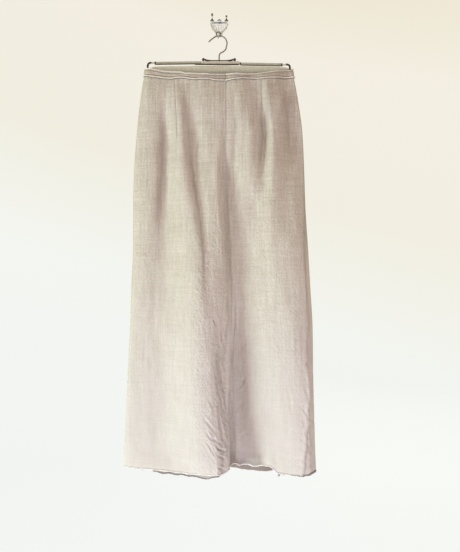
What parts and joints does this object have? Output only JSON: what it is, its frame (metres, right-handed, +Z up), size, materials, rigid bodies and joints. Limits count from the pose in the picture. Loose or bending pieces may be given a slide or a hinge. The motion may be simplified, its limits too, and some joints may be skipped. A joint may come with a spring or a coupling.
{
  "type": "wrap skirt on hanger and wall hook",
  "caption": "Long linen wrap skirt with frayed raw edges and a narrow waistband strip, stretched on a telescoping skirt hanger that hangs from a small wall hook.",
  "frame": {"origin": "on the flat back face of the wall hook, where it lies on the wall, level with the middle of its body", "axes": "+Z up; +Y into the wall, so the front of the skirt faces -Y; +X to the right as the skirt is seen from the front"},
  "size_m": [0.446, 0.0889, 1.0892],
  "materials": {
    "linen": "plain weave, slubby, matt",
    "waist_strip": "plain weave, raw frayed edges, matt",
    "hook_wire": "satin",
    "bar_steel": "satin grey",
    "black_plastic": "matt",
    "dark_wire": "matt dark",
    "pale_plastic": "semi-gloss",
    "pin_steel": "satin"
  },
  "bodies": {
    "root": {"front_overlap": "linen", "front_underlap": "linen", "back": "linen", "waistband_overlap": "waist_strip", "waistband_underlap": "waist_strip", "waistband_back": "waist_strip", "hanger_hook": "hook_wire", "hanger_housing": "bar_steel", "hanger_release_wire": "black_plastic", "hanger_under_wire": "dark_wire", "hanger_clip": "black_plastic", "hanger_arm_left": "bar_steel", "hanger_arm_right": "bar_steel", "hanger_cap_left": "black_plastic", "hanger_cap_right": "black_plastic", "hanger_stub_left": "bar_steel", "hanger_stub_right": "bar_steel", "hanger_tip_left": "black_plastic", "hanger_tip_right": "black_plastic", "wall_hook_plate": "pale_plastic", "wall_hook_prong": "pale_plastic", "wall_hook_boss": "pale_plastic", "wall_hook_nail": "dark_wire", "wall_hook_collar_left": "pin_steel", "wall_hook_collar_right": "pin_steel", "wall_hook_pin_left": "pin_steel", "wall_hook_pin_right": "pin_steel"}
  },
  "joints": []
}
